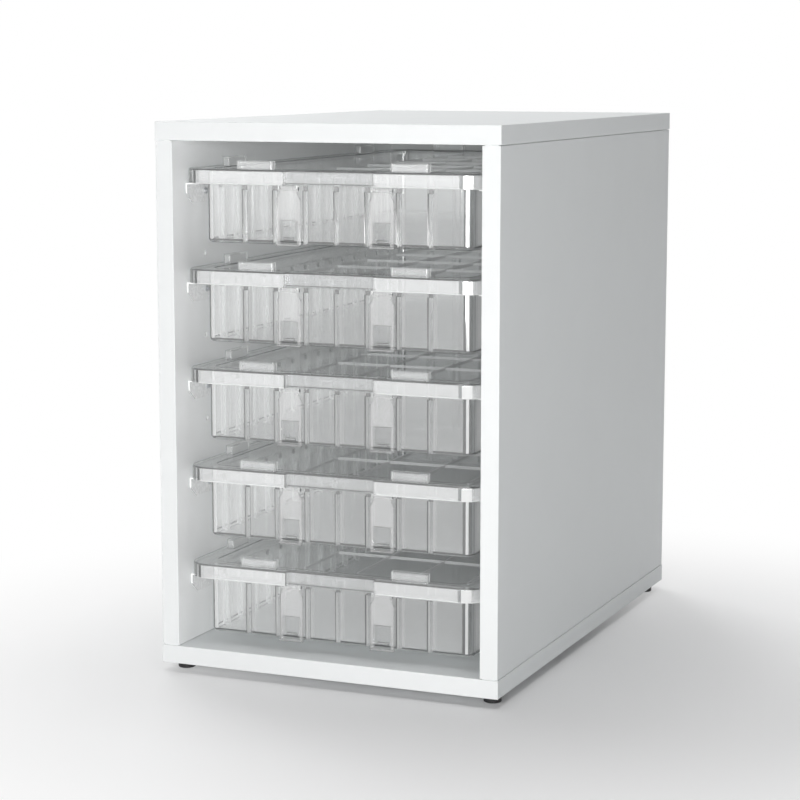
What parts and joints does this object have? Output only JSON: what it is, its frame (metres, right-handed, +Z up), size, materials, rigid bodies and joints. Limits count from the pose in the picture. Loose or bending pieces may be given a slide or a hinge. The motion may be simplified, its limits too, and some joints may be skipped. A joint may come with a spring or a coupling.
{
  "type": "classroom tray storage unit",
  "caption": "White open-fronted school storage cabinet on black glides, with clear lidded trays that slide out on side runners.",
  "frame": {"origin": "on the floor, under the middle of the unit", "axes": "+X to the right and +Z up as seen from the open front, which faces -Y"},
  "size_m": [0.355, 0.5414, 0.5428],
  "materials": {
    "white_board": "white melamine-faced chipboard, fine satin",
    "back_board": "white faced thin board, satin",
    "white_edging": "white plastic lipping, satin",
    "beech": "fluted beech dowel",
    "zinc_steel": "zinc plated, bright",
    "black_plastic": "black moulded plastic",
    "white_plastic": "white moulded plastic, semi-gloss",
    "clear_plastic": "clear moulded polypropylene, faintly milky",
    "clear_lid": "clear moulded polypropylene, faintly milky",
    "frosted_plastic": "translucent white moulded plastic"
  },
  "bodies": {
    "cabinet": {"top_panel": "white_board", "bottom_panel": "white_board", "side_panel_left": "white_board", "side_panel_right": "white_board", "back_panel": "back_board", "carcass_dowels": "beech", "edging_top": "white_edging", "edging_bottom": "white_edging", "edging_left": "white_edging", "edging_right": "white_edging", "foot_front_left": "black_plastic", "foot_front_right": "black_plastic", "foot_rear_left": "black_plastic", "foot_rear_right": "black_plastic", "foot_screws": "zinc_steel", "runner_screws_left": "zinc_steel", "runner_screws_right": "zinc_steel", "runner_left_1": "white_plastic", "runner_left_2": "white_plastic", "runner_left_3": "white_plastic", "runner_left_4": "white_plastic", "runner_left_5": "white_plastic", "runner_right_1": "white_plastic", "runner_right_2": "white_plastic", "runner_right_3": "white_plastic", "runner_right_4": "white_plastic", "runner_right_5": "white_plastic"},
    "tray_1": {"tray_1": "clear_plastic"},
    "lid_1": {"lid_1": "clear_lid"},
    "strap_left_1": {"strap_left_1": "frosted_plastic"},
    "strap_right_1": {"strap_right_1": "frosted_plastic"},
    "tray_2": {"tray_2": "clear_plastic"},
    "lid_2": {"lid_2": "clear_lid"},
    "strap_left_2": {"strap_left_2": "frosted_plastic"},
    "strap_right_2": {"strap_right_2": "frosted_plastic"},
    "tray_3": {"tray_3": "clear_plastic"},
    "lid_3": {"lid_3": "clear_lid"},
    "strap_left_3": {"strap_left_3": "frosted_plastic"},
    "strap_right_3": {"strap_right_3": "frosted_plastic"},
    "tray_4": {"tray_4": "clear_plastic"},
    "lid_4": {"lid_4": "clear_lid"},
    "strap_left_4": {"strap_left_4": "frosted_plastic"},
    "strap_right_4": {"strap_right_4": "frosted_plastic"},
    "tray_5": {"tray_5": "clear_plastic"},
    "lid_5": {"lid_5": "clear_lid"},
    "strap_left_5": {"strap_left_5": "frosted_plastic"},
    "strap_right_5": {"strap_right_5": "frosted_plastic"}
  },
  "joints": [
    {"name": "tray_1_slide", "type": "slide", "parent": "cabinet", "child": "tray_1", "axis": [0, -1, 0], "range_m": [0, 0.4]},
    {"name": "lid_1_lift", "type": "slide", "parent": "tray_1", "child": "lid_1", "axis": [0, 0, 1], "range_m": [0, 0.012]},
    {"name": "strap_left_1_hinge", "type": "hinge", "parent": "tray_1", "child": "strap_left_1", "pos_m": [-0.0485, -0.24375, 0.4795], "axis": [-1, 0, 0], "range_deg": [0, 85]},
    {"name": "strap_right_1_hinge", "type": "hinge", "parent": "tray_1", "child": "strap_right_1", "pos_m": [0.0485, -0.24375, 0.4795], "axis": [-1, 0, 0], "range_deg": [0, 85]},
    {"name": "tray_2_slide", "type": "slide", "parent": "cabinet", "child": "tray_2", "axis": [0, -1, 0], "range_m": [0, 0.4]},
    {"name": "lid_2_lift", "type": "slide", "parent": "tray_2", "child": "lid_2", "axis": [0, 0, 1], "range_m": [0, 0.012]},
    {"name": "strap_left_2_hinge", "type": "hinge", "parent": "tray_2", "child": "strap_left_2", "pos_m": [-0.0485, -0.24375, 0.38245], "axis": [-1, 0, 0], "range_deg": [0, 85]},
    {"name": "strap_right_2_hinge", "type": "hinge", "parent": "tray_2", "child": "strap_right_2", "pos_m": [0.0485, -0.24375, 0.38245], "axis": [-1, 0, 0], "range_deg": [0, 85]},
    {"name": "tray_3_slide", "type": "slide", "parent": "cabinet", "child": "tray_3", "axis": [0, -1, 0], "range_m": [0, 0.4]},
    {"name": "lid_3_lift", "type": "slide", "parent": "tray_3", "child": "lid_3", "axis": [0, 0, 1], "range_m": [0, 0.012]},
    {"name": "strap_left_3_hinge", "type": "hinge", "parent": "tray_3", "child": "strap_left_3", "pos_m": [-0.0485, -0.24375, 0.2854], "axis": [-1, 0, 0], "range_deg": [0, 85]},
    {"name": "strap_right_3_hinge", "type": "hinge", "parent": "tray_3", "child": "strap_right_3", "pos_m": [0.0485, -0.24375, 0.2854], "axis": [-1, 0, 0], "range_deg": [0, 85]},
    {"name": "tray_4_slide", "type": "slide", "parent": "cabinet", "child": "tray_4", "axis": [0, -1, 0], "range_m": [0, 0.4]},
    {"name": "lid_4_lift", "type": "slide", "parent": "tray_4", "child": "lid_4", "axis": [0, 0, 1], "range_m": [0, 0.012]},
    {"name": "strap_left_4_hinge", "type": "hinge", "parent": "tray_4", "child": "strap_left_4", "pos_m": [-0.0485, -0.24375, 0.18835], "axis": [-1, 0, 0], "range_deg": [0, 85]},
    {"name": "strap_right_4_hinge", "type": "hinge", "parent": "tray_4", "child": "strap_right_4", "pos_m": [0.0485, -0.24375, 0.18835], "axis": [-1, 0, 0], "range_deg": [0, 85]},
    {"name": "tray_5_slide", "type": "slide", "parent": "cabinet", "child": "tray_5", "axis": [0, -1, 0], "range_m": [0, 0.4]},
    {"name": "lid_5_lift", "type": "slide", "parent": "tray_5", "child": "lid_5", "axis": [0, 0, 1], "range_m": [0, 0.012]},
    {"name": "strap_left_5_hinge", "type": "hinge", "parent": "tray_5", "child": "strap_left_5", "pos_m": [-0.0485, -0.24375, 0.0913], "axis": [-1, 0, 0], "range_deg": [0, 85]},
    {"name": "strap_right_5_hinge", "type": "hinge", "parent": "tray_5", "child": "strap_right_5", "pos_m": [0.0485, -0.24375, 0.0913], "axis": [-1, 0, 0], "range_deg": [0, 85]}
  ]
}
